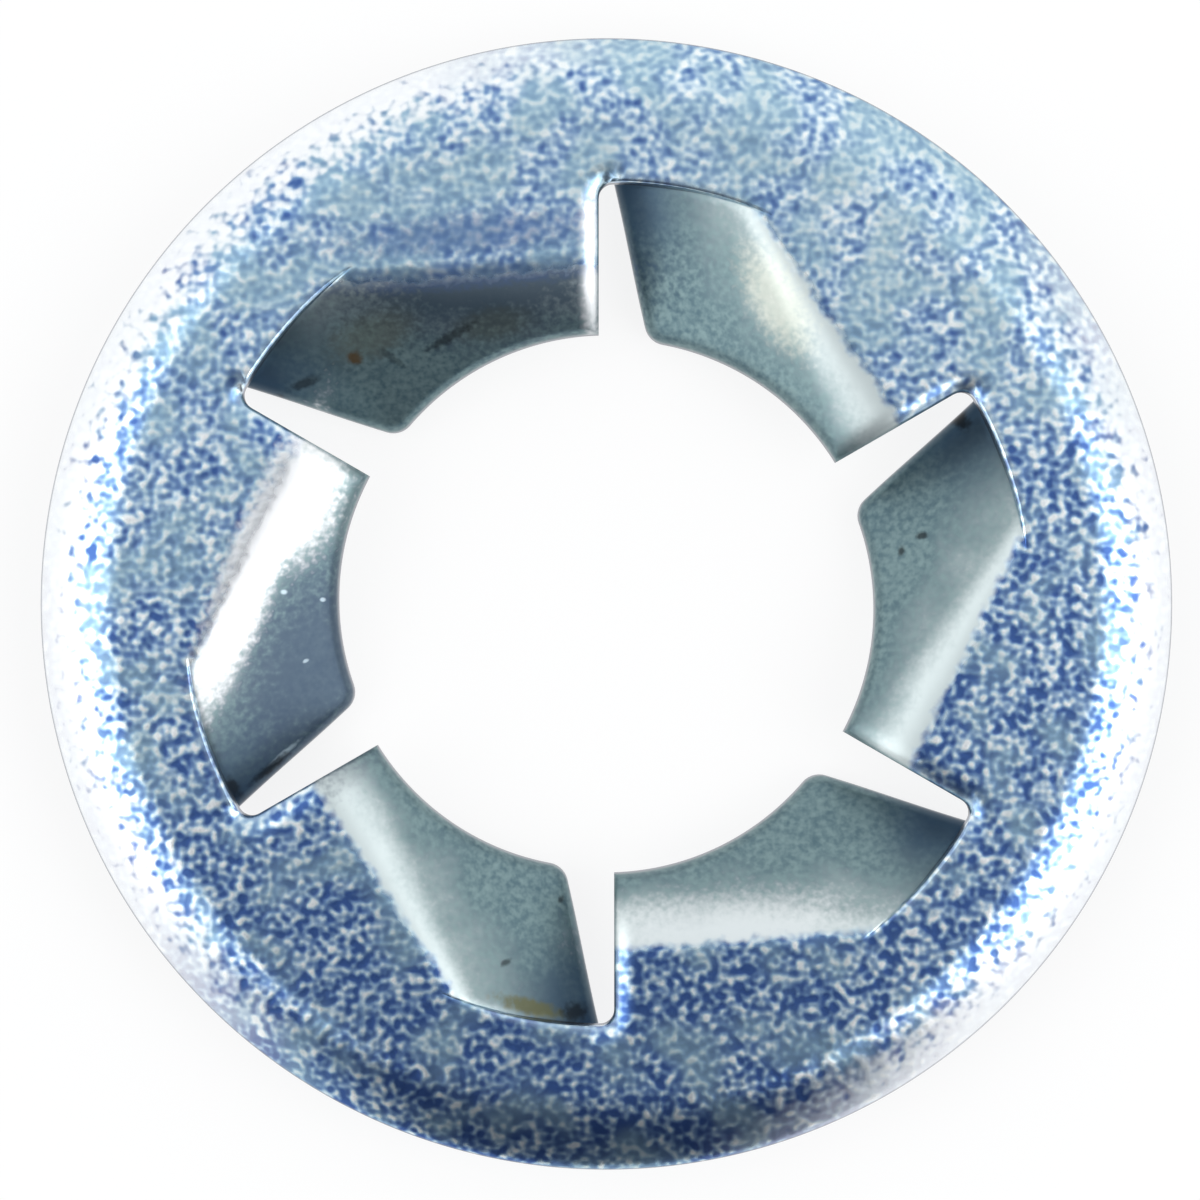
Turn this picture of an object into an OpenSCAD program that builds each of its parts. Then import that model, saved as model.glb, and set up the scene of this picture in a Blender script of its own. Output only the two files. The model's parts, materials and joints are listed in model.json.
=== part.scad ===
// Push-on nut
// One round of spring steel sheet with a turned-down rim. Lanced tongues slope down from
// its flat face and close in on a bore, so that their tips grip a stud pushed through.
// +Z runs along the bore, out of the flat face. The deep corners of the tongues stand on
// the plane z = 0.

/* [Sheet] */
// Thickness of the sheet
sheet_t = 0.5; // [0.3:0.05:0.6]
// Outside diameter, over the rim
outer_d = 16; // [15.5:0.1:17]
// Width of the flat ring between the lances and the rim
land_w = 0.95; // [0.6:0.05:1.2]

/* [Rim] */
// Radius of the rim's curve, on the upper face
rim_r = 1.65; // [1.2:0.05:2]
// Slope of the rim at its edge, in degrees
rim_slope = 45; // [25:1:60]
// Radius left on the rim's upper edge when the round is blanked
rim_roll = 0.12; // [0.05:0.01:0.2]

/* [Tongues] */
// Number of tongues
tongue_n = 6; // [5:1:7]
// Diameter of the bore between the tongue tips
bore_d = 7.65; // [7.2:0.05:8.1]
// Turn of the sheet through each tongue's bend, in degrees
bend_turn = 33; // [25:1:45]
// Inside radius of the bend where it meets the slot
bend_r_slot = 1.6; // [1:0.05:2]
// Inside radius of the bend where it meets the lance
bend_r_lance = 0.25; // [0.2:0.05:0.5]
// Distance from the lance circle in to the bend line
bend_inset = 0.95; // [0.7:0.05:1.2]
// Angle of the bend line off square to the slot, in degrees
bend_skew = 4.5; // [0:0.5:8]
// Radius of each tongue's deep corner
tip_r = 0.33; // [0.15:0.01:0.45]

/* [Cuts] */
// Width of a slot at its outer end
slot_w = 0.22; // [0.12:0.01:0.3]
// Angle by which a slot opens towards the bore, on its deep side, in degrees
slot_flare = 13; // [4:1:16]
// Radius of a slot's outer corner
slot_end_r = 0.2; // [0.12:0.01:0.3]
// Gap that the lance leaves between a tongue and the flat ring
lance_gap = 0.05; // [0.03:0.01:0.1]
// How far the lance runs past the bend line
lance_past = 0.1; // [0.05:0.01:0.2]

/* [Hidden] */
$fn = 180;

// A cutting body reaches this far past what it cuts
past = 1;

// A point turned about the bore's axis, and a direction at an angle
function turned(p, a) = [p.x * cos(a) - p.y * sin(a), p.x * sin(a) + p.y * cos(a)];
function toward(a) = [cos(a), sin(a)];

// How far along d from p a circle of radius r about the axis is first met
function reach(p, d, r) = -p * d - sqrt(pow(p * d, 2) - p * p + r * r);

// Flat ring and lance circle, inward from the rim's rolled edge, and a point clear of the rim
rim_roll_a = rim_slope - asin(rim_roll / (rim_r - rim_roll));
flat_r = outer_d / 2 - rim_roll - (rim_r - rim_roll) * sin(rim_roll_a);
lance_r = flat_r - land_w;
rim_far = 3 * rim_r;
bore_r = bore_d / 2;

// Each tongue is drawn with its shallow slot along +X and its deep slot one pitch on
pitch = 360 / tongue_n;
slot_half = slot_w / 2;

// Bend line: its foot from the axis, its direction, and where it meets the slot and the lance
bend_x = lance_r - bend_inset;
bend_foot = bend_x * toward(bend_skew);
bend_dir = toward(bend_skew + 90);
bend_in = toward(bend_skew + 180);
slot_s = (slot_half - bend_foot.y) / bend_dir.y;
lance_s = sqrt(pow(lance_r, 2) - pow(bend_x, 2));

// The bend is part of a cone whose tip lies on the bend line, past the lance
cone_a = atan((bend_r_slot - bend_r_lance) / (lance_s - slot_s));
cone_s = lance_s + (bend_r_lance + sheet_t) / tan(cone_a);
cone_long = cone_s - slot_s + past;

// Flats that the bend is drawn with, and the inside radius that it starts from
bend_steps = 16;
bend_r_least = 0.02;
cone_short = (sheet_t + bend_r_least) / tan(cone_a);

// Along the bend line, inward and up: a line down the cone, and the sheet's upward normal there
function cone_way(turn) = [
    -pow(cos(cone_a), 2) - pow(sin(cone_a), 2) * cos(turn),
    sin(cone_a) * sin(turn),
    -sin(cone_a) * cos(cone_a) * (1 - cos(turn))
];
function cone_up(turn) = [
    cos(cone_a) * sin(cone_a) * (1 - cos(turn)),
    cos(cone_a) * sin(turn),
    pow(cos(cone_a), 2) * cos(turn) + pow(sin(cone_a), 2)
];
leaf_up = cone_up(bend_turn);
leaf_in = cross(cone_way(bend_turn), leaf_up);
leaf_long = outer_d / 2;

// Deep edge of a tongue: a point on it, its way in, and its way into the tongue
edge_p = turned([lance_r, -slot_half], pitch);
edge_d = toward(pitch + 180 + slot_flare);
edge_m = toward(pitch + 270 + slot_flare);
edge_foot = edge_p + edge_d * ((slot_half - edge_p.y) / edge_d.y);
edge_far = edge_p - edge_d * lance_r / 2;

// Deep corner: a round that touches the deep edge and the bore
tip_from = edge_p + tip_r * edge_m;
tip_c = tip_from + edge_d * reach(tip_from, edge_d, bore_r + tip_r);
tip_edge = tip_c - tip_r * edge_m;
tip_bore = tip_c * bore_r / (bore_r + tip_r);
tip_corner = edge_p + edge_d * reach(edge_p, edge_d, bore_r);

// Depth of the leaf's underside below the flat face, and its deepest point
function leaf_depth(p) =
    (leaf_up.x * ((p - bend_foot) * bend_dir - cone_s)
        + leaf_up.y * ((p - bend_foot) * bend_in) + sheet_t) / leaf_up.z;
leaf_fall = leaf_up.x * bend_dir + leaf_up.y * bend_in;
tip_low = tip_c + tip_r * leaf_fall / norm(leaf_fall);
nut_h = max(leaf_depth(tip_low), leaf_depth(tip_bore), leaf_depth(tip_edge));

// Section of the flat ring and the rim, from the bore out, with the flat face at zero
module ring_section() {
    translate([bore_r, -sheet_t]) square([flat_r - bore_r, sheet_t]);
    translate([flat_r, -rim_r]) difference() {
        intersection() {
            difference() {
                circle(rim_r);
                circle(rim_r - sheet_t);
            }
            polygon([[0, 0], [0, rim_far], rim_far * toward(90 - rim_slope)]);
        }
        rim_roll_cut();
    }
}

// What the roll takes off the rim's upper edge
module rim_roll_cut() {
    center = (rim_r - rim_roll) * toward(90 - rim_roll_a);
    corner = (rim_r + past) * toward(90 - rim_slope) + past * toward(-rim_slope);
    difference() {
        polygon([
            center,
            (rim_r + past) * toward(90 - rim_roll_a),
            corner,
            center + (rim_roll + past) * toward(-rim_slope)
        ]);
        translate(center) circle(rim_roll);
    }
}

// Opening in the flat ring for one tongue, with the slot on its shallow side
module window_plan() {
    polygon([
        [0, 0],
        [(bend_x + lance_past) / cos(bend_skew), 0],
        bend_foot - lance_past * bend_in + lance_r * bend_dir,
        outer_d * toward(pitch)
    ]);
    translate([0, -slot_half]) square([lance_r, slot_w]);
}

// Metal left in a slot's outer corner
module slot_corner_plan() {
    center_y = slot_half - slot_end_r;
    center = [sqrt(pow(lance_r - slot_end_r, 2) - pow(center_y, 2)), center_y];
    difference() {
        polygon([
            center,
            [center.x, slot_half + slot_end_r],
            [lance_r + past, slot_half + slot_end_r],
            center * (lance_r + past) / (lance_r - slot_end_r)
        ]);
        translate(center) circle(slot_end_r);
    }
}

// All the openings and slots, out to the lance circle
module cut_plan() {
    difference() {
        intersection() {
            circle(lance_r);
            for (k = [0 : tongue_n - 1]) rotate(k * pitch) window_plan();
        }
        for (k = [0 : tongue_n - 1]) rotate(k * pitch) slot_corner_plan();
    }
}

// Outline of a tongue from above: slot, lance, deep edge and deep corner
module tongue_plan() {
    difference() {
        intersection() {
            circle(lance_r - lance_gap);
            polygon([edge_foot, [lance_r, slot_half], [lance_r, edge_far.y], edge_far]);
        }
        difference() {
            polygon([
                tip_c,
                tip_edge - tip_r * edge_m,
                tip_corner - tip_r * edge_m,
                tip_corner / 2,
                tip_bore / 2
            ]);
            translate(tip_c) circle(tip_r);
        }
    }
}

// Section of the sheet along the cone's line at one turn, moved by a shift: two upper
// points, from the cone's tip on, and the two below them
function sheet_row(turn, shift = [0, 0, 0], short = cone_short) =
    let (tip = [cone_s, 0, 0] + shift, way = cone_way(turn), below = sheet_t * cone_up(turn))
    [tip + short * way, tip + cone_long * way, tip + cone_long * way - below, tip + short * way - below];

// Sheet bent along a straight line: flat root, conical bend and flat leaf
module bent_sheet() {
    rows = [
        sheet_row(0, [0, -bend_inset / 2, 0]),
        for (i = [0 : bend_steps]) sheet_row(bend_turn * i / bend_steps),
        sheet_row(bend_turn, leaf_long * leaf_in, cone_short - leaf_long)
    ];
    sides = [[0, 1, 5, 4], [7, 6, 2, 3], [0, 4, 7, 3], [5, 1, 2, 6]];
    last = 4 * (len(rows) - 1);
    rotate(bend_skew) translate([bend_x, 0, 0]) rotate(90) polyhedron(
        points = [for (row = rows) each row],
        faces = [
            [0, 3, 2, 1],
            for (first = [0 : 4 : last - 4], side = sides) [for (corner = side) first + corner],
            [last, last + 1, last + 2, last + 3]
        ]
    );
}

// One tongue, cut to its outline
module tongue() {
    intersection() {
        bent_sheet();
        translate([0, 0, -outer_d]) linear_extrude(outer_d + past) tongue_plan();
    }
}

// The whole nut, standing on its tongues
module push_on_nut() {
    color([0.56, 0.63, 0.72]) translate([0, 0, nut_h]) rotate(pitch / 2) difference() {
        union() {
            difference() {
                rotate_extrude() ring_section();
                translate([0, 0, -sheet_t - past]) linear_extrude(sheet_t + 2 * past) cut_plan();
            }
            for (k = [0 : tongue_n - 1]) rotate(k * pitch) tongue();
        }
        translate([0, 0, -nut_h - past]) cylinder(h = nut_h + 2 * past, r = bore_r);
    }
}

push_on_nut();
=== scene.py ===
"""Push-on nut: a flat blank is pressed, repeated round the bore and given its zinc finish."""
import json
import math

import bpy
import numpy as np
from bpy.props import FloatProperty, FloatVectorProperty, IntProperty, PointerProperty
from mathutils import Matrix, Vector
from mathutils.geometry import delaunay_2d_cdt


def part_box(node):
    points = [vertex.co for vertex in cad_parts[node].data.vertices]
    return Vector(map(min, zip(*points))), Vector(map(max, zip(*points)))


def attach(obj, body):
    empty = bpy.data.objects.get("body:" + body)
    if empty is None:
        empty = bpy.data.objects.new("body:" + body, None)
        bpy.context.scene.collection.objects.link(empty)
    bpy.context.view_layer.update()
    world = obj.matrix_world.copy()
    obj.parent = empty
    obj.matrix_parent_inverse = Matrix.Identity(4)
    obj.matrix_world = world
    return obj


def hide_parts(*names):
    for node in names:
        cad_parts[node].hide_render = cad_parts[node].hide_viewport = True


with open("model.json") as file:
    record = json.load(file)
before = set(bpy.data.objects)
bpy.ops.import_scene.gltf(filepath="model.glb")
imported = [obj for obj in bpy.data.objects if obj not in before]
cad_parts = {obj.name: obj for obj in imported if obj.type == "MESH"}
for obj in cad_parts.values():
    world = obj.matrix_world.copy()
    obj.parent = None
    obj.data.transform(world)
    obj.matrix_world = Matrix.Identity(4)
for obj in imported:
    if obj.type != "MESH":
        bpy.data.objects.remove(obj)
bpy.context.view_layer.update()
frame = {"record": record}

bl_info = {
    "name": "Push-on nut",
    "version": (1, 0, 0),
    "blender": (4, 5, 0),
    "location": "View3D > Sidebar > Push-on nut",
    "description": "Makes a zinc-plated push-on nut and the table it is photographed on",
    "category": "Add Mesh",
}

MM = 0.001
NODE = "push_on_nut"
MOUNTS = {mount["name"]: mount for mount in frame["record"]["mounts"]}
OUTER_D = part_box(NODE)[1].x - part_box(NODE)[0].x
FACE_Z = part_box(NODE)[1].z
BORE_R = MOUNTS["stud_bore"]["dims"]["r_mm"] * MM

# Mesh: rows of points across a roll, and lengths too small to tell apart
ROLL_STEPS = 5
SNAP = 1e-5 * MM
WELD = 1e-4 * MM
TOUCH = 1e-3 * MM
SHARP_ANGLE = math.radians(40)

# Triangulation in millimetres: keep the triangles inside the outline, and join points this close
KEEP_INSIDE = 1
PLAN_SNAP = 1e-7

# Spacing of the points, as shares of a roll's row or of the mesh step
OWN_SHARE = 0.97
APART_SHARE = 0.5
SIDE_SHARE = 0.2
FILL_SHARE = 0.45

# Noises of the plate: scale for each millimetre, and detail
NOISES = {
    "patch": (1.2, 1.0),
    "fine": (11.0, 1.5),
    "mid": (5.2, 0.0),
    "grain": (9.6, 0.0),
    "pit": (7.3, 0.0),
}

# Tone of the ring: its middle, its rise for each millimetre along a way towards +Y, which is painted light
# and shade (lighter at the back, darker towards the open front), and what varies it
PAINTED_LIGHT_WAY = (-0.1, 0.99, 0.0)
TONE_MIDDLE = 0.425
PAINTED_LIGHT_RISE = 0.016
SPARKLE = (("mid", 0.5), ("pit", 0.55), ("grain", 0.9))
SPARKLE_GAIN = 1.65
CALM_LOSS = 0.6
PATCH_GAIN = 0.15
TONES = ((0.05, "navy"), (0.32, "deep"), (0.53, "plate"), (0.70, "pale"), (0.88, "glint"))

# Greener patches: how much further they reach where the ring is calm, and their share
TEAL_CALM = 0.08
TEAL_SHARE = 0.5

# Painted highlight on the rim's sides: the way across it, how far its middle lies off the axis in
# millimetres, and its share
RIM_HIGHLIGHT_WAY = (0.95, -0.31, 0.0)
RIM_HIGHLIGHT_MIDDLE = 0.8
RIM_HIGHLIGHT_SHARE = 0.9

# Tongues: weights of the mottle's noises, and of the bend and each millimetre past its line, which set the
# painted highlight round the bend
MOTTLE_FINE = 0.75
MOTTLE_GRAIN = 0.25
BEND_WEIGHT = 0.5
PAST_WEIGHT = 0.35

# Share of pale, burnished plate along the cut edges
BURNISH_SHARE = 0.25

# Height of the plate's grains: shares of the finer noises, and what the tongues lose
GRAIN_LIFT = 0.5
FINE_LIFT = 0.2
LEAF_FLAT = 0.7

# Borders of the finishes: where each begins and where it is full, and the noises that fray it
BORDERS = {
    "calm": (-1.0, 6.0),
    "teal": (0.45, 0.7),
    "rim_highlight_side": (2.5, 6.0),
    "rim_highlight_edge": (0.12, 0.5, ("mid", 0.6), ("grain", 0.5)),
    "leaf": (0.06, 0.22, ("mid", 0.15), ("fine", 0.1)),
    "mottle": (0.2, 0.8, ("patch", 0.3)),
    "past_bend": (0.3, 0.95, ("patch", 0.4), ("fine", 0.3)),
    "off_corner": (0.1, 1.9, ("patch", 0.9)),
    "off_burnish": (0.04, 0.13),
    "torn": (0.45, 0.55, ("fine", 0.3)),
    "lower_face": (0.97, 1.0),
    "off_rim_cut": (0.05, 0.12),
    "rim_foot": (0.5, 0.7),
    "off_upper": (0.4, 0.6),
    "off_oval": (0.35, 1.25, ("fine", 0.9)),
}

# Depth of a mark in millimetres, so great that it doesn't fade downwards
MARK_DEPTH = 1e3

# Marks on the upper face, in millimetres: place, turn in degrees, half length, half width, colour, strength.
# The navy marks by the bends and the recess mark are painted shade, and the bright and cream marks are
# painted highlights.
RING_MARKS = (
    # Painted shade by the upper-left tongue's bend
    (-1.90, 5.20, 4.5, 2.2, 0.34, "navy", 0.55),
    # Painted highlight along the top slot's edge, on the ring
    (-0.22, 5.30, 90, 0.55, 0.20, "bright", 0.7),
)
BEND_MARKS = (
    # Painted shade over the upper-left tongue's bend
    (-1.85, 4.62, 4.5, 2.2, 0.20, "navy", 0.35),
    # Painted highlight round the left tongue's bend
    (-4.95, 0.90, 66, 2.0, 0.30, "bright", 0.95),
)
TONGUE_MARKS = (
    # Painted shade over the upper-left tongue's leaf
    (-1.70, 4.55, 4.5, 2.6, 0.95, "recess", 0.9),
    # Painted highlight along the top slot's edge, on the tongue
    (-0.20, 4.40, 90, 0.75, 0.18, "bright", 0.7),
    (-4.10, -0.90, 67, 2.0, 1.3, "slate", 0.8),
    # Painted highlights along the left tongue's bend
    (-4.45, 1.50, 67, 1.05, 0.72, "bright", 0.97),
    (-5.20, -0.25, 66, 1.7, 0.33, "bright", 0.97),
    (-4.55, 0.17, 0, 0.05, 0.04, "pale", 0.7),
    (-4.02, 0.06, 0, 0.04, 0.035, "pale", 0.6),
    (-4.27, -0.81, 30, 0.05, 0.03, "pale", 0.5),
    (-3.30, 3.80, 20, 0.70, 0.35, "olive", 0.3),
    (-1.60, 3.95, 10, 0.60, 0.25, "olive", 0.25),
    (-4.62, -2.15, 40, 0.30, 0.04, "pale", 0.6),
    # Painted highlight on a lower tongue's bend
    (1.70, -4.60, 4.5, 2.0, 0.60, "bright", 0.35),
    (-3.57, 3.49, 0, 0.14, 0.10, "rust", 0.85),
    (-2.20, 3.78, 28, 0.45, 0.075, "soot", 0.65),
    (-3.05, 3.50, -35, 0.25, 0.06, "soot", 0.4),
    (-4.30, 3.14, 20, 0.26, 0.08, "soot", 0.65),
    (-4.75, 2.80, 60, 0.22, 0.09, "soot", 0.8),
    (4.47, 0.97, 15, 0.09, 0.06, "soot", 0.8),
    (4.19, 0.76, 70, 0.08, 0.05, "soot", 0.8),
    (5.03, 2.65, -60, 0.22, 0.13, "soot", 0.95),
    (-1.07, -5.70, -18, 0.55, 0.13, "olive", 0.8),
    (-0.45, -5.80, 0, 0.20, 0.14, "soot", 0.8),
    (-1.42, -5.07, 30, 0.09, 0.05, "soot", 0.7),
    (-0.65, -4.22, 60, 0.07, 0.05, "soot", 0.7),
    (-4.79, -2.33, 40, 0.40, 0.07, "soot", 0.85),
    (-5.30, -2.62, -60, 0.22, 0.10, "soot", 0.8),
    # Painted highlight, cream-tinted, on the upper-right tongue's bend
    (2.40, 4.30, -62, 0.90, 0.40, "cream", 0.4),
)

# Paler parts of the ring, painted light on the sides where more light falls, which end in their lift of its
# tone
PAINTED_LIGHT_MARKS = (
    (4.60, -4.60, 45, 3.0, 1.3, 0.07),
    (4.60, 4.60, -45, 3.0, 1.4, 0.08),
    (-6.40, 0.00, 90, 2.6, 0.8, 0.04),
)

# Bend over which the ring's grains run on, which ends in how far they do
GRAIN_MARK = (-1.85, 4.80, 4.5, 2.6, 0.6, 0.15)

# Panels of light: name, place, width and height in metres, and radiance
PANELS = (
    ("left_panel", (-0.11, -0.0194, 0.1537), 0.13, 0.15, 1.5),
    ("right_panel", (0.1075, -0.0349, 0.1527), 0.12, 0.143, 2.3),
)

# Tent, by the parts of a direction: where its open front and its crown begin and are full
FRONT_FADE = (-0.1, 0.12)
FRONT_SIDE_FADE = (0.25, 0.65)
CROWN_FADE = (0.7, 1.0)

# Camera's sensor, in the millimetres that Blender gives it, and the depths that it sees, in metres
SENSOR_W = 36.0
NEAREST = 0.001
FARTHEST = 10.0


def length(name, description, millimetres):
    """A size property, given in millimetres."""
    return FloatProperty(
        name=name, description=description, default=millimetres * MM, unit="LENGTH", precision=5
    )


def turn(name, description, degrees):
    """An angle property, given in degrees."""
    return FloatProperty(
        name=name, description=description, default=math.radians(degrees), subtype="ANGLE"
    )


def share(name, description, value):
    """A plain number between nothing and one."""
    return FloatProperty(name=name, description=description, default=value, min=0.0, max=1.0)


def colour(name, description, red, green, blue):
    """A colour property."""
    return FloatVectorProperty(
        name=name, description=description, default=(red, green, blue), subtype="COLOR", min=0.0, max=1.0
    )


class NutSizes(bpy.types.PropertyGroup):
    """Sizes of the stamped sheet"""

    sheet_t: length("Sheet", "Thickness of the sheet", 0.5)
    land_w: length("Land", "Width of the flat ring between the lances and the rim", 0.95)
    rim_r: length("Rim radius", "Radius of the rim's curve, on the upper face", 1.65)
    rim_slope: turn("Rim slope", "Slope of the rim at its edge", 45)
    edge_roll: length("Edge roll", "Depth and usual width that the die rolls off an upper edge", 0.12)
    slot_roll: length("Slot roll", "Width that the die rolls off along the slots", 0.3)
    lance_roll: length("Lance roll", "Rounding left on the tongue along its lance", 0.03)
    ring_roll: length("Ring roll", "Rounding left on the flat ring along a lance", 0.05)
    tongue_n: IntProperty(name="Tongues", description="Number of tongues", default=6, min=3)
    bend_turn: turn("Bend turn", "Turn of the sheet through each tongue's bend", 33)
    bend_r_slot: length("Bend radius, slot", "Inside radius of the bend at the slot", 1.6)
    bend_r_lance: length("Bend radius, lance", "Inside radius of the bend at the lance", 0.25)
    bend_inset: length("Bend inset", "Distance from the lance circle in to the bend line", 0.95)
    bend_skew: turn("Bend skew", "Angle of the bend line off square to the slot", 4.5)
    tip_r: length("Tip radius", "Radius of each tongue's deep corner", 0.33)
    slot_w: length("Slot width", "Width of a slot at its outer end", 0.22)
    slot_flare: turn("Slot flare", "Angle by which a slot opens on its deep side", 13)
    slot_end_r: length("Slot end radius", "Radius of a slot's outer corner", 0.2)
    lance_gap: length("Lance gap", "Gap between a tongue and the flat ring", 0.004)
    lance_past: length("Lance run-out", "How far the lance runs past the bend line", 0.02)
    lance_fade: length("Lance fade", "Length over which the edges sharpen from the end of a lance", 0.7)
    lance_spread: share("Lance spread", "Spread of a tongue under the ring, for each length it sinks", 0.1)
    spread_fade: length("Spread fade", "Width in from the lance over which the spread fades", 1.65)
    fine_step: length("Upper mesh step", "Distance between points of the upper face", 0.085)
    plain_step: length("Lower mesh step", "Distance between points of the lower face", 0.15)
    cut_step: length("Edge mesh step", "Distance between points along a cut edge", 0.06)


class NutFinish(bpy.types.PropertyGroup):
    """Colours, gloss and grain of the zinc plate"""

    # Navy also paints shade over the upper-left tongue's bend
    navy: colour("Pits", "Deepest pits between the grains", 0.06, 0.13, 0.36)
    deep: colour("Deep plate", "Deeper blue round the pits", 0.18, 0.31, 0.55)
    plate: colour("Plate", "Body of the blue zinc plate", 0.40, 0.56, 0.74)
    pale: colour("Pale plate", "Paler plate round the shining grains", 0.67, 0.81, 0.90)
    glint: colour("Grains", "Grains that stand proud and shine", 0.96, 1.0, 1.0)
    # Painted highlight on the rim's sides, on bends and along a slot edge
    bright: colour("Worn plate", "Plate polished by wear", 0.97, 0.98, 0.99)
    teal: colour("Patches", "Greener, duller patches of the plate", 0.36, 0.55, 0.62)
    shear: colour("Sheared edge", "Torn half of the cut edges", 0.24, 0.25, 0.29)
    # Painted highlight round the bends
    bend: colour("Bends", "Stretched, shining plate round the bends", 0.58, 0.65, 0.65)
    leaf: colour("Tongues", "Duller, greyer plate on the tongues", 0.205, 0.30, 0.31)
    leaf_dark: colour("Tongue mottle", "Darker mottle on the tongues", 0.085, 0.15, 0.18)
    # Painted shade in the deep corners and over one tongue
    recess: colour("Recess", "Thin, dark plate in the deep corners", 0.045, 0.08, 0.12)
    slate: colour("Slate stain", "Bluer, darker plate on one tongue", 0.065, 0.095, 0.15)
    soot: colour("Soot", "Scratches and pits", 0.012, 0.016, 0.02)
    rust: colour("Rust", "Spot of rust", 0.12, 0.07, 0.025)
    olive: colour("Olive stain", "Stain by a lance", 0.13, 0.13, 0.05)
    # Painted highlight, cream-tinted, on one bend
    cream: colour("Cream stain", "Yellowed plate on a bend", 0.84, 0.83, 0.68)
    metal: share("Metal", "Metallic share of the ring and rim", 0.97)
    leaf_metal: share("Tongue metal", "Metallic share of the tongues", 0.72)
    rough: share("Roughness", "Roughness of the ring and rim", 0.26)
    leaf_rough: share("Tongue roughness", "Roughness of the tongues", 0.36)
    grain_h: length("Grain height", "Height of the plate's grains", 0.004)


class StageLook(bpy.types.PropertyGroup):
    """Table, camera and light"""

    table: colour("Table", "Colour of the table", 0.9, 0.9, 0.9)
    table_w: length("Table width", "Width of the table", 1200)
    table_white: share("Table white", "Share of plain white in the table that the camera sees", 0.85)
    tent_side: colour("Tent sides", "Light from the tent's sides", 0.98, 0.99, 1.0)
    tent_top: colour("Tent top", "Light from overhead", 0.74, 0.77, 0.80)
    tent_front: colour("Tent front", "Light from the open front", 0.06, 0.07, 0.09)
    tent_light: FloatProperty(
        name="Tent light", description="Strength of the tent's light", default=1.05, min=0.0
    )
    camera_up: length("Camera height", "Height of the camera over the flat face", 60)
    frame_w: length("Frame width", "Width of the picture at the flat face", 16.84)
    aim_x: length("Aim, across", "Point under the camera, across", -0.091)
    aim_y: length("Aim, along", "Point under the camera, along", 0.056)


class Wire:
    """A node's output that takes part in Python arithmetic."""

    def __init__(self, board, socket):
        self.board = board
        self.socket = socket

    def out(self, name):
        """Another output of the same node."""
        return Wire(self.board, self.socket.node.outputs[name])

    def __add__(self, other):
        return self.board.math("ADD", self, other)

    def __radd__(self, other):
        return self.board.math("ADD", other, self)

    def __sub__(self, other):
        return self.board.math("SUBTRACT", self, other)

    def __rsub__(self, other):
        return self.board.math("SUBTRACT", other, self)

    def __mul__(self, other):
        return self.board.math("MULTIPLY", self, other)

    def __rmul__(self, other):
        return self.board.math("MULTIPLY", other, self)

    def __truediv__(self, other):
        return self.board.math("DIVIDE", self, other)

    def __rtruediv__(self, other):
        return self.board.math("DIVIDE", other, self)

    def __gt__(self, other):
        return self.board.math("GREATER_THAN", self, other)

    def __lt__(self, other):
        return self.board.math("LESS_THAN", self, other)


class Board:
    """A node tree, with the ways to add to it."""

    def __init__(self, tree):
        self.tree = tree
        self.tree.nodes.clear()

    def feed(self, socket, value):
        """Gives a socket a link or a value."""
        if isinstance(value, Wire):
            self.tree.links.new(value.socket, socket)
        else:
            socket.default_value = value

    def add(self, kind, settings=None, sockets=None, out=0):
        """Adds a node, sets it up, feeds its sockets and gives one output."""
        node = self.tree.nodes.new(kind)
        for name, value in (settings or {}).items():
            if name == "stops":
                self.set_stops(node.color_ramp, value)
            else:
                setattr(node, name, value)
        for key, value in (sockets or {}).items():
            self.feed(node.inputs[key], value)
        return Wire(self, node.outputs[out]) if node.outputs else node

    def set_stops(self, ramp, stops):
        """Fills a colour ramp from pairs of position and colour."""
        while len(ramp.elements) < len(stops):
            ramp.elements.new(1.0)
        for element, (position, shade) in zip(ramp.elements, stops):
            element.position = position
            element.color = (*shade, 1.0)

    def math(self, operation, *values):
        """Adds a Math node."""
        return self.add("ShaderNodeMath", {"operation": operation}, dict(enumerate(values)))

    def mix(self, factor, first, second):
        """Mixes two colours."""
        first, second = (v if isinstance(v, Wire) else (*v, 1.0) for v in (first, second))
        return self.add("ShaderNodeMix", {"data_type": "RGBA"}, {0: factor, 6: first, 7: second}, 2)

    def rise(self, value, low, high):
        """Nothing below the low value, one above the high one, smooth between."""
        settings = {"interpolation_type": "SMOOTHSTEP"}
        return self.add("ShaderNodeMapRange", settings, {0: value, 1: low, 2: high, 3: 0.0, 4: 1.0})


class NutForm:
    """What follows from the nut's sizes."""

    def __init__(self, sizes):
        self.sizes = sizes
        roll = sizes.edge_roll
        roll_a = sizes.rim_slope - math.asin(roll / (sizes.rim_r - roll))
        self.flat_r = OUTER_D / 2 - roll - (sizes.rim_r - roll) * math.sin(roll_a)
        self.blank_r = self.flat_r + sizes.rim_r * sizes.rim_slope
        self.lance_r = self.flat_r - sizes.land_w
        self.pitch = math.tau / sizes.tongue_n
        self.slot_half = sizes.slot_w / 2
        self.bend_x = self.lance_r - sizes.bend_inset
        foot_y = self.bend_x * math.sin(sizes.bend_skew)
        slot_s = (self.slot_half - foot_y) / math.cos(sizes.bend_skew)
        lance_s = math.sqrt(self.lance_r ** 2 - self.bend_x ** 2)
        self.cone_a = math.atan((sizes.bend_r_slot - sizes.bend_r_lance) / (lance_s - slot_s))
        self.cone_s = lance_s + (sizes.bend_r_lance + sizes.sheet_t) / math.tan(self.cone_a)


# Outline of the cuts in one sector, whose slot runs along +X


def toward(angle):
    """Unit vector at an angle."""
    return np.array([math.cos(angle), math.sin(angle)])


def turned(points, angle):
    """Points turned about the bore's axis."""
    c, s = math.cos(angle), math.sin(angle)
    return np.asarray(points) @ np.array([[c, s], [-s, c]])


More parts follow.
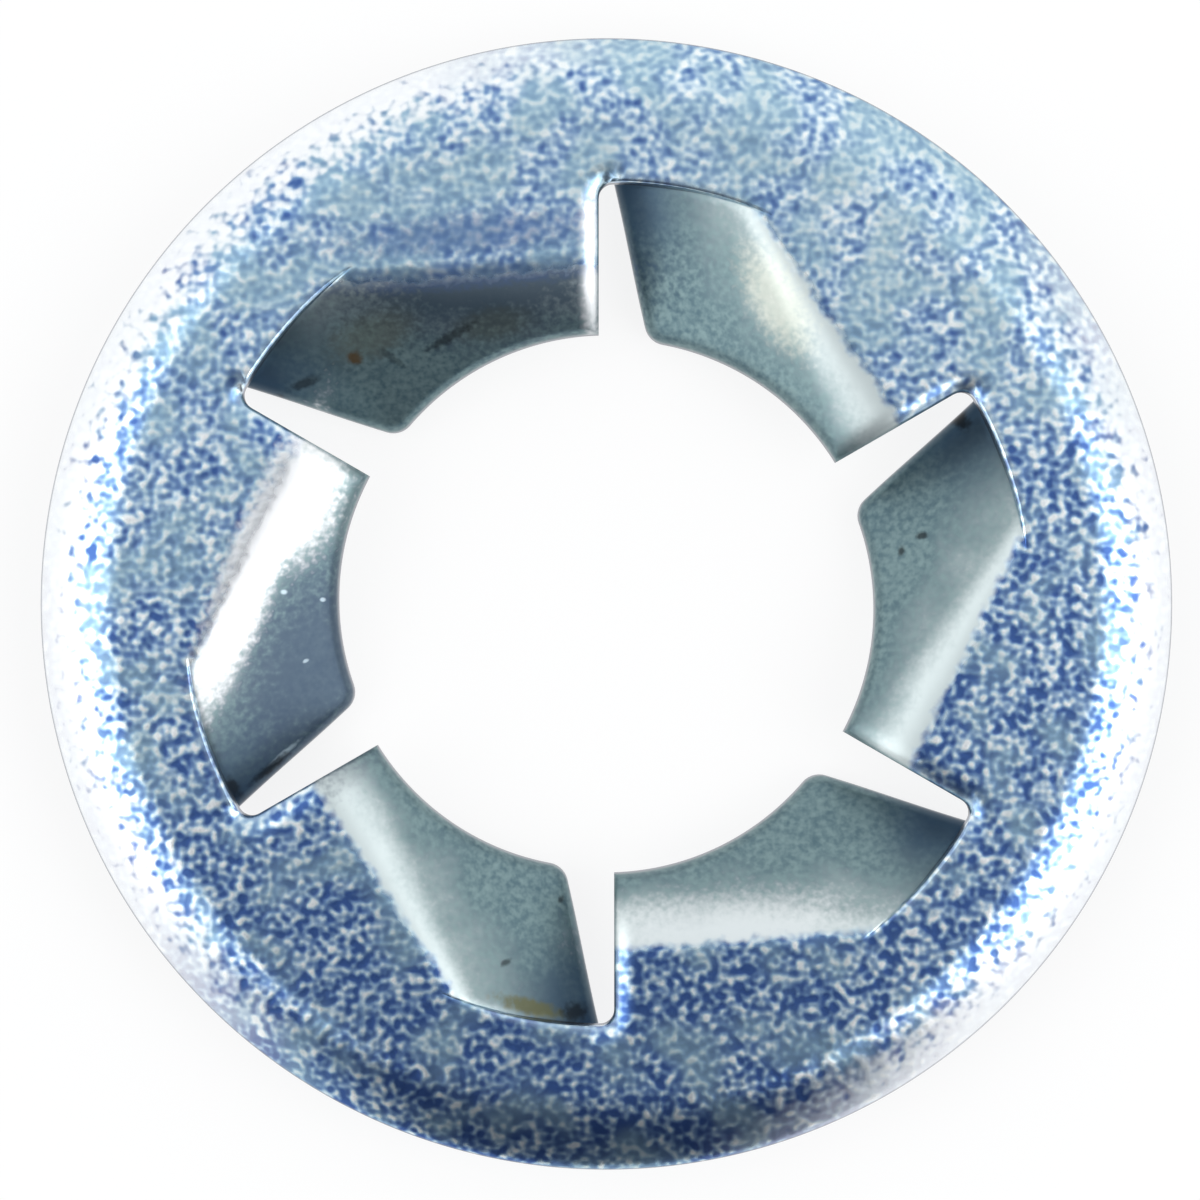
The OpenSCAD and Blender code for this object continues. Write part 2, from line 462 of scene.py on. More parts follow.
def reach(point, way, radius, side):
    """How far along a way from a point a circle about the axis is met, on its near or far side."""
    middle = -point @ way
    return middle + side * math.sqrt(middle ** 2 - point @ point + radius ** 2)


class Outline:
    """A chain of lines and arcs, as points a step apart."""

    def __init__(self, start, step):
        self.points = [np.array(start, float)]
        self.step = step

    def line(self, end):
        """A line from the last point to an end."""
        start = self.points[-1]
        end = np.array(end, float)
        count = max(1, math.ceil(np.linalg.norm(end - start) / self.step))
        self.points += [start + (end - start) * i / count for i in range(1, count + 1)]

    def arc(self, center, stop, clockwise=False):
        """An arc about a centre, from the last point round to an angle."""
        center = np.array(center, float)
        first = self.points[-1] - center
        radius = np.linalg.norm(first)
        start = math.atan2(first[1], first[0])
        sweep = (stop - start) % math.tau
        if clockwise:
            sweep -= math.tau
        count = max(3, math.ceil(abs(sweep) * radius / self.step))
        self.points += [center + radius * toward(start + sweep * i / count) for i in range(1, count + 1)]


class Edge:
    """A cut edge, with the metal on its right, and the width and depth of its roll."""

    def __init__(self, points, width, depth):
        self.points = np.array(points)
        self.width = width
        self.depth = depth

    def drop(self, gap):
        """How far the roll sinks the upper face at a distance from the edge."""
        away = np.clip(1.0 - np.where(gap < SNAP, 0.0, gap) / self.width, 0.0, 1.0)
        return self.depth * (1.0 - np.sqrt(1.0 - away ** 2))

    def rows(self):
        """Distances from the edge at which the roll needs points."""
        angles = [i * math.pi / 2 / ROLL_STEPS for i in range(1, ROLL_STEPS + 1)]
        return [self.width * (1 - math.cos(angle)) for angle in angles]


def cut_edges(form):
    """The cut edges of one sector in turn: slot, tongue, its lance, the ring's lance and the rim."""
    sizes = form.sizes
    axis = (0.0, 0.0)
    end_y = form.slot_half - sizes.slot_end_r
    end_c = np.array([math.sqrt((form.lance_r - sizes.slot_end_r) ** 2 - end_y ** 2), end_y])
    start_x = end_c[0] + math.sqrt(sizes.slot_end_r ** 2 - end_y ** 2)
    tongue_r = form.lance_r - sizes.lance_gap

    # Deep edge and deep corner
    deep_from = turned([form.lance_r, -form.slot_half], form.pitch)
    deep_way = toward(form.pitch + math.pi + sizes.slot_flare)
    deep_side = toward(form.pitch + 1.5 * math.pi + sizes.slot_flare)
    tip_from = deep_from + sizes.tip_r * deep_side
    tip_c = tip_from + deep_way * reach(tip_from, deep_way, BORE_R + sizes.tip_r, -1)
    lance_corner = deep_from + deep_way * reach(deep_from, deep_way, tongue_r, -1)

    # Where the lance runs out, past the bend line
    run_out = math.acos((form.bend_x + sizes.lance_past) / form.lance_r) + sizes.bend_skew
    gap_c = (form.lance_r - sizes.lance_gap / 2) * toward(run_out)

    slot = Outline((start_x, 0.0), sizes.cut_step)
    slot.arc(end_c, math.pi / 2)
    slot.line((math.sqrt(BORE_R ** 2 - form.slot_half ** 2), form.slot_half))
    tongue = Outline(slot.points[-1], sizes.cut_step)
    tongue.arc(axis, math.atan2(tip_c[1], tip_c[0]))
    tongue.arc(tip_c, math.atan2(-deep_side[1], -deep_side[0]), clockwise=True)
    tongue.line(lance_corner)
    lance = Outline(tongue.points[-1], sizes.cut_step)
    lance.arc(axis, run_out, clockwise=True)
    ring = Outline(lance.points[-1], sizes.cut_step)
    ring.arc(gap_c, run_out)
    ring.arc(axis, form.pitch + math.atan2(end_c[1], end_c[0]))
    ring.arc(turned(end_c, form.pitch), form.pitch + math.atan2(-end_y, start_x - end_c[0]))
    rim = Outline(form.blank_r * toward(form.pitch), sizes.cut_step)
    rim.arc(axis, 0.0, clockwise=True)
    usual = (sizes.edge_roll, sizes.edge_roll)
    return [
        Edge(slot.points, sizes.slot_roll, sizes.edge_roll),
        Edge(tongue.points, *usual),
        Edge(lance.points, sizes.lance_roll, sizes.lance_roll),
        Edge(ring.points, sizes.ring_roll, sizes.ring_roll),
        Edge(rim.points, *usual),
    ]


# Flat blank of one sector, as a closed sheet but for its two sides


def distance_to(points, chain):
    """Distance from each point to the nearest stretch of a chain."""
    starts = chain[:-1]
    ways = chain[1:] - starts
    squares = np.maximum((ways * ways).sum(1), np.finfo(float).tiny)
    best = np.full(len(points), np.inf)
    for start, way, square in zip(starts, ways, squares):
        along = np.clip((points - start) @ way / square, 0.0, 1.0)
        gap = points - start - along[:, None] * way
        best = np.minimum(best, (gap * gap).sum(1))
    return np.sqrt(best)


def inside(points, loop):
    """Which points lie within a closed loop."""
    result = np.zeros(len(points), bool)
    for (ax, ay), (bx, by) in zip(loop, np.roll(loop, -1, axis=0)):
        crosses = (ay > points[:, 1]) != (by > points[:, 1])
        if ay != by:
            result ^= crosses & (points[:, 0] < (bx - ax) * (points[:, 1] - ay) / (by - ay) + ax)
    return result


def right_of(chain):
    """Unit normals on the right of a chain's points."""
    way = np.gradient(chain, axis=0)
    way /= np.linalg.norm(way, axis=1)[:, None]
    return np.stack([way[:, 1], -way[:, 0]], axis=1)


def grid(low, high, step):
    """Points of an even triangular grid over a box."""
    rows = np.arange(low[1], high[1], step * math.sqrt(0.75))
    columns = np.arange(low[0], high[0], step)
    return np.array([(x + (i % 2) * step / 2, y) for i, y in enumerate(rows) for x in columns])


class Blank:
    """One sector of the flat blank."""

    def __init__(self, form):
        self.form = form
        self.edges = cut_edges(form)
        slot, self.tongue, self.lance, ring, rim = self.edges
        self.rim = rim.points
        self.cut = np.vstack([slot.points, *(edge.points[1:] for edge in (self.tongue, self.lance, ring))])
        self.vertices = []
        self.faces = []
        self.marks = {"from_edge": [], "from_corner": [], "tongue": []}

    def around(self, points):
        """Points of this sector and of its two neighbours."""
        return [turned(points, k * self.form.pitch) for k in (-1, 0, 1)]

    def on_tongue(self, points):
        """Which points belong to the tongue: within its lance and short of its deep edge."""
        corner = self.lance.points[0]
        way = corner - self.tongue.points[-2]
        short = way[0] * (points[:, 1] - corner[1]) - way[1] * (points[:, 0] - corner[0])
        within = np.linalg.norm(points, axis=1) < self.form.lance_r - self.form.sizes.lance_gap / 2
        return within & (short < TOUCH * np.linalg.norm(way))

    def gaps(self, points):
        """Distance to each kind of edge, in this sector or a neighbour."""
        found = []
        for edge in self.edges[:-1]:
            chains = self.around(edge.points)
            found.append(np.min([distance_to(points, chain) for chain in chains], axis=0))
        rim = self.form.blank_r - np.linalg.norm(points, axis=1)
        return [*found, np.maximum(rim, 0.0)]

    def sunk(self, gaps):
        """How far the rolls sink the upper face."""
        return np.max([edge.drop(gap) for edge, gap in zip(self.edges, gaps)], axis=0)

    def opened(self, points):
        """Nothing where a lance ends, one where it has opened."""
        ends = self.around(self.lance.points[-1:])
        away = np.min([np.linalg.norm(points - end, axis=1) for end in ends], axis=0)
        return np.clip(away / self.form.sizes.lance_fade, 0.0, 1.0)

    def side_radii(self, step, rows):
        """Radii of the points along a sector's straight sides, close to its edges at the given rows."""
        low = self.cut[0][0]
        high = self.form.blank_r
        near = max([*rows, 0.0])
        count = math.ceil((high - low - 2 * near) / step)
        middle = np.linspace(low + near, high - near, count + 1)
        ends = [low + row for row in rows[:-1]] + [high - row for row in rows[:-1]]
        return np.array(sorted([*middle, *ends])) if rows else middle[1:-1]

    def off_sides(self, points, gap):
        """Which points lie off the sector's two straight sides by a gap."""
        other = turned(points, -self.form.pitch)
        return (points[:, 1] > gap) & (other[:, 1] < -gap)

    def roll_points(self, loop, step):
        """Rows of points along the edges, as close as their rolls need."""
        strips = []
        for i, edge in enumerate(self.edges):
            for row in edge.rows():
                strip = edge.points + row * right_of(edge.points)
                gaps = self.gaps(strip)
                own = gaps[i] > OWN_SHARE * row
                apart = np.min(gaps, axis=0) > APART_SHARE * min(row, step)
                off_sides = self.off_sides(strip, SIDE_SHARE * step)
                strips.append(strip[own & apart & inside(strip, loop) & off_sides])
        return strips

    def fill_points(self, loop, step, rolled):
        """Points of a grid within the outline, clear of its edges and rolls and of the sector's sides."""
        fill = grid(loop.min(0), loop.max(0), step)
        fill = fill[inside(fill, loop) & self.off_sides(fill, FILL_SHARE * step)]
        clear = [(edge.width if rolled else 0.0) + FILL_SHARE * step for edge in self.edges]
        return fill[np.all([gap > least for gap, least in zip(self.gaps(fill), clear)], axis=0)]

    def add_points(self, plan, rolled):
        """Adds points at their depth, with their marks."""
        sizes = self.form.sizes
        gaps = self.gaps(plan)
        opened = self.opened(plan)
        depth = self.sunk(gaps) * opened if rolled else np.full(len(plan), sizes.sheet_t)
        self.vertices += [(x, y, -z) for (x, y), z in zip(plan, depth)]
        self.marks["from_edge"] += list(np.min(gaps, axis=0) + (1.0 - opened) * sizes.slot_roll)
        self.marks["from_corner"] += list(np.linalg.norm(plan - self.lance.points[0], axis=1))
        self.marks["tongue"] += list(self.on_tongue(plan))

    def layer(self, step, rolled):
        """Triangulates the upper, rolled face or the lower one, and numbers its points by cut and by rim."""
        radii = self.side_radii(step, self.edges[-1].rows() if rolled else [])
        far_side = radii[:, None] * toward(self.form.pitch)
        near_side = radii[::-1, None] * toward(0.0)
        loop = np.vstack([self.cut, far_side, self.rim, near_side])
        strips = self.roll_points(loop, step) if rolled else []
        points = np.vstack([loop, self.fill_points(loop, step, rolled), *strips])
        flat = [Vector(point / MM) for point in points]
        made = delaunay_2d_cdt(flat, [], [list(range(len(loop)))], KEEP_INSIDE, PLAN_SNAP)
        plan = np.array([tuple(point) for point in made[0]]) * MM
        first = len(self.vertices)
        self.add_points(plan, rolled)
        for face in made[2]:
            a, b, c = (plan[i] for i in face)
            upward = (b[0] - a[0]) * (c[1] - a[1]) - (b[1] - a[1]) * (c[0] - a[0]) > 0
            corners = face if upward == rolled else face[::-1]
            self.faces.append([first + i for i in corners])
        place = {old: first + new for new, olds in enumerate(made[3]) for old in olds}
        rim_first = len(self.cut) + len(far_side)
        cut = [place[i] for i in range(len(self.cut))]
        rim = [place[rim_first + i] for i in range(len(self.rim))]
        return cut, rim

    def mesh(self):
        """The blank as a mesh, with each point's distances and whether it is on the tongue."""
        sizes = self.form.sizes
        upper = self.layer(sizes.fine_step, True)
        lower = self.layer(sizes.plain_step, False)
        for top, bottom in zip(upper, lower):
            for i in range(len(top) - 1):
                self.faces.append([top[i], top[i + 1], bottom[i + 1], bottom[i]])
        mesh = bpy.data.meshes.new("nut_blank")
        mesh.from_pydata(self.vertices, [], self.faces)
        for name, values in self.marks.items():
            mark = mesh.attributes.new(name, "FLOAT", "POINT")
            mark.data.foreach_set("value", np.array(values, np.float32))
        return mesh


# Press: rolls the rim down, bends the tongue and repeats the sector round the bore


def press_inputs(form):
    """Named inputs of the press, with their values."""
    sizes = form.sizes
    return {
        "Tongues": sizes.tongue_n,
        "Sheet": sizes.sheet_t,
        "Flat radius": form.flat_r,
        "Rim radius": sizes.rim_r,
        "Lance radius": form.lance_r - sizes.lance_gap / 2,
        "Lance spread": sizes.lance_spread,
        "Spread fade": sizes.spread_fade,
        "Bend line": form.bend_x,
        "Bend skew": sizes.bend_skew,
        "Bend turn": sizes.bend_turn,
        "Cone tip": form.cone_s,
        "Cone angle": form.cone_a,
        "Face height": FACE_Z,
        "Weld": WELD,
    }


class Press:
    """Geometry nodes that press a blank sector and repeat it."""

    def __init__(self, inputs, material):
        self.tree = bpy.data.node_groups.new("nut_press", "GeometryNodeTree")
        self.name_sockets(inputs)
        self.board = Board(self.tree)
        self.given = self.board.add("NodeGroupInput")
        place = self.board.add("GeometryNodeInputPosition")
        self.x = self.board.add("ShaderNodeSeparateXYZ", {}, {0: place})
        self.y = self.x.out("Y")
        self.depth = 0.0 - self.x.out("Z")
        self.radius = self.board.math("SQRT", self.x * self.x + self.y * self.y)
        nut = self.repeat(self.sector())
        plated = self.board.add("GeometryNodeSetMaterial", {}, {"Geometry": nut, "Material": material})
        self.board.add("NodeGroupOutput", {}, {0: plated})

    def name_sockets(self, inputs):
        """Gives the tree its inputs and its output."""
        sockets = self.tree.interface
        sockets.new_socket("Blank", in_out="INPUT", socket_type="NodeSocketGeometry")
        for name, value in inputs.items():
            kind = "NodeSocketInt" if isinstance(value, int) else "NodeSocketFloat"
            sockets.new_socket(name, in_out="INPUT", socket_type=kind)
        sockets.new_socket("Nut", in_out="OUTPUT", socket_type="NodeSocketGeometry")

    def rim(self):
        """Rim, rolled about a ring under the flat: its angle, its radius and its height from the face."""
        board = self.board
        flat_r = self.given.out("Flat radius")
        rim_r = self.given.out("Rim radius")
        angle = board.math("MAXIMUM", self.radius - flat_r, 0.0) / rim_r
        flat = board.math("MINIMUM", self.radius, flat_r)
        rolled_r = flat + (rim_r - self.depth) * board.math("SINE", angle)
        height = (rim_r - self.depth) * board.math("COSINE", angle) - rim_r
        return angle, rolled_r, height

    def tongue(self):
        """Tongue, bent round a cone: its way past the bend line, its share of the bend and its height."""
        board = self.board
        skew = self.given.out("Bend skew")
        cone_a = self.given.out("Cone angle")
        most = self.given.out("Bend turn")
        sine_skew = board.math("SINE", skew)
        cosine_skew = board.math("COSINE", skew)
        sine = board.math("SINE", cone_a)
        cosine = board.math("COSINE", cone_a)

        # How far a point lies from the cone's tip along the bend line, and past the line
        along = self.y * cosine_skew - self.x * sine_skew
        to_tip = self.given.out("Cone tip") - along - self.depth * cosine / sine
        across = self.given.out("Bend line") - self.x * cosine_skew - self.y * sine_skew
        is_tongue = board.add("GeometryNodeInputNamedAttribute", {"data_type": "FLOAT"}, {"Name": "tongue"})
        inward = board.math("MAXIMUM", across, 0.0) * is_tongue

        # How far round the cone that is, up to the whole bend
        steep = inward / board.math("MAXIMUM", to_tip, TOUCH)
        lean = steep * sine * sine
        lift = steep * cosine * cosine / board.math("SQRT", lean * lean + sine * sine)
        swing = board.math("ARCSINE", board.math("MINIMUM", lift, 1.0))
        reached = swing + board.math("ARCTAN2", lean, sine)
        bend = board.math("MINIMUM", reached, most)

        # Height on the cone, and on the flat leaf past it
        cosine_b = board.math("COSINE", bend)
        slant = cosine * cosine + sine * sine * cosine_b
        cone_z = 0.0 - to_tip * sine * cosine * (1.0 - cosine_b) / slant
        leaf_s = cosine * sine * (1.0 - board.math("COSINE", most))
        leaf_n = cosine * board.math("SINE", most)
        leaf_up = cosine * cosine * board.math("COSINE", most) + sine * sine
        leaf_z = (leaf_s * to_tip - leaf_n * inward) / leaf_up
        on_leaf = reached > most
        return inward, bend / most, leaf_z * on_leaf + cone_z * (1.0 - on_leaf)

    def sector(self):
        """The pressed sector, which keeps what the finish needs to know at each point."""
        board = self.board
        rim_angle, rolled_r, rim_z = self.rim()
        inward, bend, tongue_z = self.tongue()

        # Sheared edge, spread a little under the ring
        from_lance = self.given.out("Lance radius") - self.radius
        near_lance = 1.0 - board.rise(from_lance, 0.0, self.given.out("Spread fade"))
        spread = (0.0 - tongue_z) * self.given.out("Lance spread") * near_lance

        draw = rolled_r / self.radius + spread / self.radius
        height = self.given.out("Face height") + rim_z + tongue_z
        pressed = board.add("ShaderNodeCombineXYZ", {}, {0: self.x * draw, 1: self.y * draw, 2: height})
        marks = {
            "depth": self.depth / self.given.out("Sheet"),
            "from_bend": inward,
            "bend": bend,
            "rim": rim_angle,
        }
        marked = self.given.out("Blank")
        for name, value in marks.items():
            marked = board.add(
                "GeometryNodeStoreNamedAttribute",
                {"data_type": "FLOAT", "domain": "POINT"},
                {"Geometry": marked, "Name": name, "Value": value},
            )
        return board.add("GeometryNodeSetPosition", {}, {"Geometry": marked, "Position": pressed})

    def repeat(self, sector):
        """Sectors all round the bore, welded into one sheet."""
        board = self.board
        count = self.given.out("Tongues")
        spots = board.add("GeometryNodeMeshLine", {}, {"Count": count, "Offset": (0.0, 0.0, 0.0)})
        heading = (board.add("GeometryNodeInputIndex") + 0.5) * math.tau / count
        euler = board.add("ShaderNodeCombineXYZ", {}, {2: heading})
        rotation = board.add("FunctionNodeEulerToRotation", {}, {0: euler})
        ring = board.add(
            "GeometryNodeInstanceOnPoints",
            {},
            {"Points": spots, "Instance": sector, "Rotation": rotation},
        )
        real = board.add("GeometryNodeRealizeInstances", {}, {"Geometry": ring})
        welded = board.add(
            "GeometryNodeMergeByDistance", {}, {"Geometry": real, "Distance": self.given.out("Weld")}
        )
        return board.add("GeometryNodeSetShadeSmooth", {}, {"Geometry": welded})


def press(blank, form, material):
    """Runs the press on a blank and gives the nut as a plain mesh."""
    inputs = press_inputs(form)
    tree = Press(inputs, material).tree
    tool = bpy.data.objects.new("nut_blank", blank)
    bpy.context.scene.collection.objects.link(tool)
    modifier = tool.modifiers.new("press", "NODES")
    modifier.node_group = tree
    for socket in tree.interface.items_tree:
        if socket.in_out == "INPUT" and socket.name in inputs:
            modifier[socket.identifier] = inputs[socket.name]
    evaluated = tool.evaluated_get(bpy.context.evaluated_depsgraph_get())
    mesh = bpy.data.meshes.new_from_object(evaluated)
    tool.modifiers.remove(modifier)
    bpy.data.objects.remove(tool)
    mesh.set_sharp_from_angle(angle=SHARP_ANGLE)
    return mesh


# Zinc finish


class ZincPlate:
    """Blue zinc plate: shining grains and dark pits on the flat ring and rim, smoother on the tongues."""

    def __init__(self, finish):
        self.finish = finish
        self.material = bpy.data.materials.new("zinc_plate")
        self.material.use_nodes = True
        self.board = Board(self.material.node_tree)
        whole = self.board.add("ShaderNodeTexCoord", {}, {}, "Object")
        scale = {"operation": "SCALE"}
        self.spot = self.board.add("ShaderNodeVectorMath", scale, {0: whole, "Scale": 1 / MM})
        self.noises = {name: self.noise(*form) for name, form in NOISES.items()}
        self.depth = self.mark("depth")
        self.rim_angle = self.mark("rim")
        self.from_edge = self.mark("from_edge") / MM
        self.from_bend = self.mark("from_bend") / MM
        *place, held = GRAIN_MARK
        self.leaf = self.border("leaf", self.from_bend - self.soft_oval(*place) * held)
        body = self.paint_rim_highlight(self.ring())
        body = self.board.mix(self.leaf, body, self.tongues())
        self.coat(self.marked(self.edges(body)))

    def noise(self, scale, detail):
        """A noise over the whole nut, from nothing to one."""
        return self.board.add(
            "ShaderNodeTexNoise",
            {"noise_dimensions": "3D"},
            {"Vector": self.spot, "Scale": scale, "Detail": detail},
        )

    def stray(self, name, size):
        """How far a noise strays from its middle, times a size."""
        return (self.noises[name] - 0.5) * size

    def mark(self, name):
        """A number that the press left at each point."""
        return self.board.add("ShaderNodeAttribute", {"attribute_name": name}, {}, "Fac")

    def along(self, way):
        """Millimetres from the axis along a way."""
        dot = {"operation": "DOT_PRODUCT"}
        return self.board.add("ShaderNodeVectorMath", dot, {0: self.spot, 1: way}, "Value")

    def border(self, name, value):
        """Nothing on the near side of a finish's border, one on its far side, frayed by noise."""
        low, high, *frays = BORDERS[name]
        return self.board.rise(sum((self.stray(*fray) for fray in frays), value), low, high)

    def soft_oval(self, x, y, degrees, long, wide):
        """A soft oval over the face, one in its middle."""
        heading = (0.0, 0.0, math.radians(degrees))
        where = self.board.add(
            "ShaderNodeMapping",
            {"vector_type": "TEXTURE"},
            {0: self.spot, 1: (x, y, 0.0), 2: heading, 3: (long, wide, MARK_DEPTH)},
        )
        away = self.board.add("ShaderNodeVectorMath", {"operation": "LENGTH"}, {0: where}, "Value")
        return 1.0 - self.border("off_oval", away)

    def ring(self):
        """Grains of the flat ring and rim, from navy pits to white glints, with greener patches, and painted
        light and shade across the ring.
        """
        way = self.along(PAINTED_LIGHT_WAY)
        calm = self.border("calm", way)
        first, *others = (self.stray(*each) for each in SPARKLE)
        sparkle = sum(others, first) * (SPARKLE_GAIN - calm * CALM_LOSS)
        # The tone rises towards +Y: painted light and shade, lighter at the back and darker towards the
        # front
        tone = TONE_MIDDLE + way * PAINTED_LIGHT_RISE + sparkle + self.stray("patch", PATCH_GAIN)
        # Painted light: paler tone on the sides where more light falls
        for *place, lift in PAINTED_LIGHT_MARKS:
            tone = tone + self.soft_oval(*place) * lift
        stops = [(position, getattr(self.finish, shade)) for position, shade in TONES]
        body = self.board.add("ShaderNodeValToRGB", {"stops": stops}, {0: tone})
        green = self.border("teal", self.noises["patch"] + calm * TEAL_CALM)
        return self.board.mix(green * TEAL_SHARE, body, self.finish.teal)

    def paint_rim_highlight(self, body):
        """Rim, with a painted highlight on its two sides."""
        aside = self.board.math("ABSOLUTE", self.along(RIM_HIGHLIGHT_WAY) - RIM_HIGHLIGHT_MIDDLE)
        # Painted highlight on the rim's two sides
        rim_highlight_mask = self.border("rim_highlight_side", aside) * self.border("rim_highlight_edge", self.rim_angle)
        return self.board.mix(rim_highlight_mask * RIM_HIGHLIGHT_SHARE, body, self.finish.bright)

    def tongues(self):
        """Tongues: painted highlight round the bend, grey on the leaf, painted shade in the deep corner."""
        board, finish = self.board, self.finish
        mottle = self.noises["fine"] * MOTTLE_FINE + self.noises["grain"] * MOTTLE_GRAIN
        body = board.mix(self.border("mottle", mottle), finish.leaf_dark, finish.leaf)
        # Painted highlight round the bend, fading over the leaf
        past = self.mark("bend") * BEND_WEIGHT + self.from_bend * PAST_WEIGHT
        body = board.mix(1.0 - self.border("past_bend", past), body, finish.bend)
        # Painted shade in each tongue's deep corner, by the lance
        off_corner = self.border("off_corner", self.mark("from_corner") / MM)
        return board.mix(1.0 - off_corner, body, finish.recess)

    def edges(self, body):
        """Edges, burnished by the die above and torn below."""
        board = self.board
        burnished = (1.0 - self.border("off_burnish", self.from_edge)) * (1.0 - self.leaf)
        body = board.mix(burnished * BURNISH_SHARE, body, self.finish.pale)
        torn = self.border("torn", self.depth) * (1.0 - self.border("lower_face", self.depth))
        rim_cut = 1.0 - self.border("off_rim_cut", self.from_edge)
        torn = board.math("MAXIMUM", torn, rim_cut * self.border("rim_foot", self.rim_angle))
        return board.mix(torn, body, self.finish.shear)

    def marked(self, body):
        """Marks, on the upper face alone: stains, soot and rust, with painted shade and painted highlights.
        """
        upper = 1.0 - self.border("off_upper", self.depth)
        grounds = (
            (RING_MARKS, upper * (1.0 - self.leaf)),
            (TONGUE_MARKS, upper * self.leaf),
            (BEND_MARKS, upper),
        )
        for marks, ground in grounds:
            for *place, shade, strength in marks:
                cover = self.soft_oval(*place) * ground * strength
                body = self.board.mix(cover, body, getattr(self.finish, shade))
        return body

    def coat(self, body):
        """Puts the plate on the material's surface, with its grains raised and its tongues duller."""
        finish = self.finish
        coarse = self.noises["mid"] + self.noises["grain"] * GRAIN_LIFT
        height = coarse * (1.0 - self.leaf * LEAF_FLAT) + self.noises["fine"] * FINE_LIFT
        bump = self.board.add(
            "ShaderNodeBump", {}, {"Strength": 1.0, "Distance": finish.grain_h, "Height": height}
        )
        plate = self.board.add(
            "ShaderNodeBsdfPrincipled",
            {},
            {
                "Base Color": body,
                "Metallic": finish.metal + self.leaf * (finish.leaf_metal - finish.metal),
                "Roughness": finish.rough + self.leaf * (finish.leaf_rough - finish.rough),
                "Normal": bump,
            },
        )
        self.board.add("ShaderNodeOutputMaterial", {}, {0: plate})


# Stage


def table_white(look):
    """Pale table that the camera and the metal see as white, and that keeps the nut's shadow."""
    material = bpy.data.materials.new("table_white")
    material.use_nodes = True
    board = Board(material.node_tree)
    path = board.add("ShaderNodeLightPath", {}, {}, "Is Camera Ray")
    seen = board.math("MAXIMUM", path, path.out("Is Glossy Ray"))
    seen = board.math("MAXIMUM", seen, path.out("Is Transmission Ray"))
    matte = board.add("ShaderNodeBsdfDiffuse", {}, {"Color": (*look.table, 1.0)})
    white = board.add("ShaderNodeEmission", {}, {"Color": (1.0, 1.0, 1.0, 1.0), "Strength": 1.0})
    shader = board.add("ShaderNodeMixShader", {}, {0: seen * look.table_white, 1: matte, 2: white})
    board.add("ShaderNodeOutputMaterial", {}, {0: shader})
    return material


def panel(name, place, width, height, radiance):
    """A soft panel of light that faces the nut."""
    light = bpy.data.lights.new(name, "AREA")
    light.shape = "RECTANGLE"
    light.size = width
    light.size_y = height
    light.energy = math.pi * width * height * radiance
    lamp = bpy.data.objects.new(name, light)
    lamp.location = place
    aim = Vector((0.0, 0.0, FACE_Z)) - Vector(place)
    lamp.rotation_euler = aim.to_track_quat("-Z", "Y").to_euler()
    lamp.visible_camera = False
    bpy.context.scene.collection.objects.link(lamp)


def tent(look):
    """White light tent round the table, dimmer overhead, open and dark at the front."""
    world = bpy.data.worlds.new("tent")
    world.use_nodes = True
    board = Board(world.node_tree)
    way = board.add("ShaderNodeTexCoord", {}, {}, "Generated")
    x = board.add("ShaderNodeSeparateXYZ", {}, {0: way})
    front = board.rise(0.0 - x.out("Y"), *FRONT_FADE)
    front = front * (1.0 - board.rise(board.math("ABSOLUTE", x), *FRONT_SIDE_FADE))
    cloth = board.mix(board.rise(x.out("Z"), *CROWN_FADE), look.tent_side, look.tent_top)
    cloth = board.mix(front, cloth, look.tent_front)
    sky = board.add("ShaderNodeBackground", {}, {"Color": cloth, "Strength": look.tent_light})
    board.add("ShaderNodeOutputWorld", {}, {0: sky})
    return world


class NUT_OT_press(bpy.types.Operator):
    """Cut a blank sector, press it and repeat it into the plated nut"""

    bl_idname = "push_on_nut.press"
    bl_label = "Press the nut"

    def execute(self, context):
        form = NutForm(context.scene.nut_sizes)
        material = ZincPlate(context.scene.nut_finish).material
        mesh = press(Blank(form).mesh(), form, material)
        mesh.name = "plated_nut"
        nut = bpy.data.objects.new("plated_nut", mesh)
        context.scene.collection.objects.link(nut)
        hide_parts(NODE)
        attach(nut, "root")
        return {"FINISHED"}


